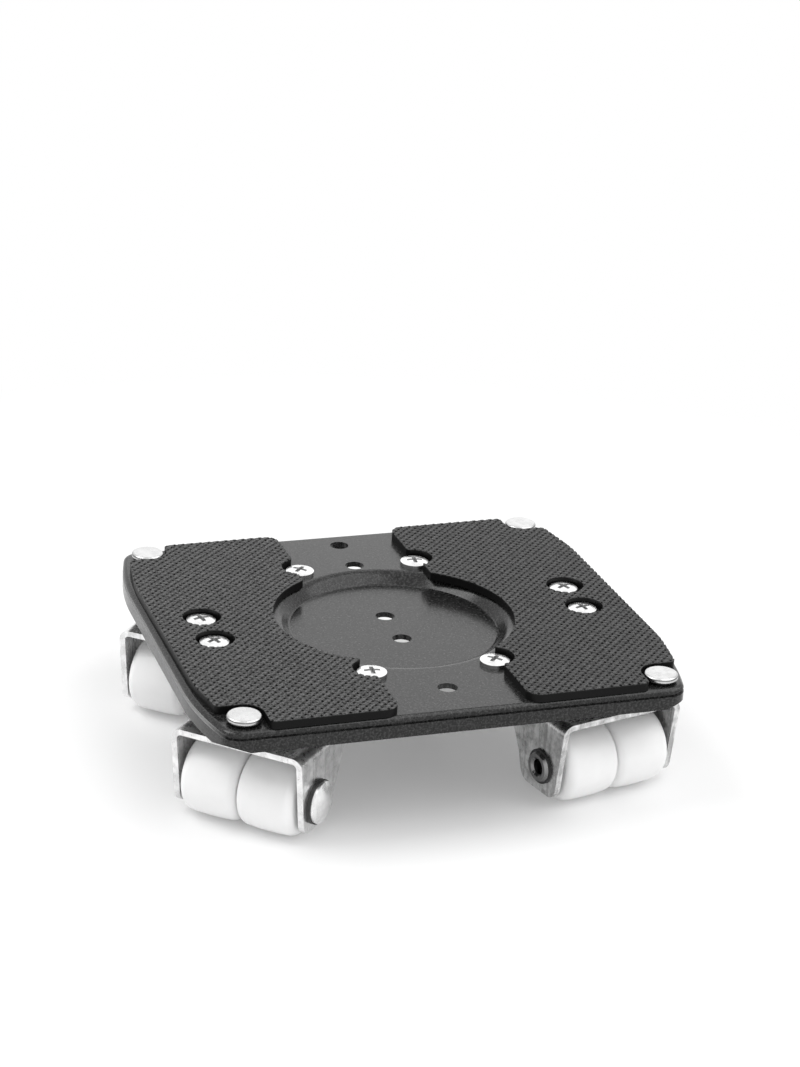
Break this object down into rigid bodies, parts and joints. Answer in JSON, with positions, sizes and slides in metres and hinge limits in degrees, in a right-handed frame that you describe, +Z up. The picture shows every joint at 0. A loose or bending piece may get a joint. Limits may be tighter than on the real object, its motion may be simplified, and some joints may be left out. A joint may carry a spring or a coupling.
{
  "type": "appliance mobile base",
  "caption": "Small rolling base for moving appliances: a pressed steel deck with a shallow dish and rubber grip mats, on twin-wheel casters that swivel freely.",
  "frame": {"origin": "on the floor under the deck's centre, midway between the four kingpins", "axes": "+X to the right along the front edge, +Y from the front edge with one hole to the back edge with two, +Z up from the floor to the mats"},
  "size_m": [0.187, 0.158, 0.0497],
  "materials": {
    "deck_coat": "satin speckled dark grey powder coat",
    "mat_rubber": "matt, finely dimpled",
    "zinc_plate": "bright zinc plate",
    "bearing_steel": "greased bearing steel",
    "black_washer": "black oxide",
    "wheel_nylon": "satin white nylon"
  },
  "bodies": {
    "deck": {"deck_plate": "deck_coat", "left_mat": "mat_rubber", "right_mat": "mat_rubber", "corner_rivets": "zinc_plate", "mount_screws": "zinc_plate", "mount_nuts": "zinc_plate", "front_left_mount_plate": "zinc_plate", "front_left_kingpin": "zinc_plate", "front_left_kingpin_washer": "zinc_plate", "front_left_upper_race": "bearing_steel", "front_right_mount_plate": "zinc_plate", "front_right_kingpin": "zinc_plate", "front_right_kingpin_washer": "zinc_plate", "front_right_upper_race": "bearing_steel", "rear_left_mount_plate": "zinc_plate", "rear_left_kingpin": "zinc_plate", "rear_left_kingpin_washer": "zinc_plate", "rear_left_upper_race": "bearing_steel", "rear_right_mount_plate": "zinc_plate", "rear_right_kingpin": "zinc_plate", "rear_right_kingpin_washer": "zinc_plate", "rear_right_upper_race": "bearing_steel"},
    "front_left_swivel": {"front_left_fork": "zinc_plate", "front_left_lower_race": "bearing_steel", "front_left_bearing_balls": "bearing_steel", "front_left_axle": "zinc_plate", "front_left_axle_washers": "black_washer"},
    "front_left_wheel_left": {"front_left_wheel_left": "wheel_nylon"},
    "front_left_wheel_right": {"front_left_wheel_right": "wheel_nylon"},
    "front_right_swivel": {"front_right_fork": "zinc_plate", "front_right_lower_race": "bearing_steel", "front_right_bearing_balls": "bearing_steel", "front_right_axle": "zinc_plate", "front_right_axle_washers": "black_washer"},
    "front_right_wheel_left": {"front_right_wheel_left": "wheel_nylon"},
    "front_right_wheel_right": {"front_right_wheel_right": "wheel_nylon"},
    "rear_left_swivel": {"rear_left_fork": "zinc_plate", "rear_left_lower_race": "bearing_steel", "rear_left_bearing_balls": "bearing_steel", "rear_left_axle": "zinc_plate", "rear_left_axle_washers": "black_washer"},
    "rear_left_wheel_left": {"rear_left_wheel_left": "wheel_nylon"},
    "rear_left_wheel_right": {"rear_left_wheel_right": "wheel_nylon"},
    "rear_right_swivel": {"rear_right_fork": "zinc_plate", "rear_right_lower_race": "bearing_steel", "rear_right_bearing_balls": "bearing_steel", "rear_right_axle": "zinc_plate", "rear_right_axle_washers": "black_washer"},
    "rear_right_wheel_left": {"rear_right_wheel_left": "wheel_nylon"},
    "rear_right_wheel_right": {"rear_right_wheel_right": "wheel_nylon"}
  },
  "joints": [
    {"name": "front_left_swivel_turn", "type": "hinge", "parent": "deck", "child": "front_left_swivel", "pos_m": [-0.05573, -0.04163, 0.0345], "axis": [0, 0, 1], "continuous": true},
    {"name": "front_left_wheel_left_spin", "type": "hinge", "parent": "front_left_swivel", "child": "front_left_wheel_left", "pos_m": [-0.06703, -0.05366, 0.014], "axis": [0.729, -0.6845, 0], "continuous": true},
    {"name": "front_left_wheel_right_spin", "type": "hinge", "parent": "front_left_swivel", "child": "front_left_wheel_right", "pos_m": [-0.06703, -0.05366, 0.014], "axis": [0.729, -0.6845, 0], "continuous": true},
    {"name": "front_right_swivel_turn", "type": "hinge", "parent": "deck", "child": "front_right_swivel", "pos_m": [0.05573, -0.04163, 0.0345], "axis": [0, 0, 1], "continuous": true},
    {"name": "front_right_wheel_left_spin", "type": "hinge", "parent": "front_right_swivel", "child": "front_right_wheel_left", "pos_m": [0.05961, -0.05767, 0.014], "axis": [0.972, 0.2351, 0], "continuous": true},
    {"name": "front_right_wheel_right_spin", "type": "hinge", "parent": "front_right_swivel", "child": "front_right_wheel_right", "pos_m": [0.05961, -0.05767, 0.014], "axis": [0.972, 0.2351, 0], "continuous": true},
    {"name": "rear_left_swivel_turn", "type": "hinge", "parent": "deck", "child": "rear_left_swivel", "pos_m": [-0.05573, 0.04163, 0.0345], "axis": [0, 0, 1], "continuous": true},
    {"name": "rear_left_wheel_left_spin", "type": "hinge", "parent": "rear_left_swivel", "child": "rear_left_wheel_left", "pos_m": [-0.06645, 0.02909, 0.014], "axis": [0.7604, -0.6494, 0], "continuous": true},
    {"name": "rear_left_wheel_right_spin", "type": "hinge", "parent": "rear_left_swivel", "child": "rear_left_wheel_right", "pos_m": [-0.06645, 0.02909, 0.014], "axis": [0.7604, -0.6494, 0], "continuous": true},
    {"name": "rear_right_swivel_turn", "type": "hinge", "parent": "deck", "child": "rear_right_swivel", "pos_m": [0.05573, 0.04163, 0.0345], "axis": [0, 0, 1], "continuous": true},
    {"name": "rear_right_wheel_left_spin", "type": "hinge", "parent": "rear_right_swivel", "child": "rear_right_wheel_left", "pos_m": [0.06703, 0.0296, 0.014], "axis": [0.729, 0.6845, 0], "continuous": true},
    {"name": "rear_right_wheel_right_spin", "type": "hinge", "parent": "rear_right_swivel", "child": "rear_right_wheel_right", "pos_m": [0.06703, 0.0296, 0.014], "axis": [0.729, 0.6845, 0], "continuous": true}
  ]
}
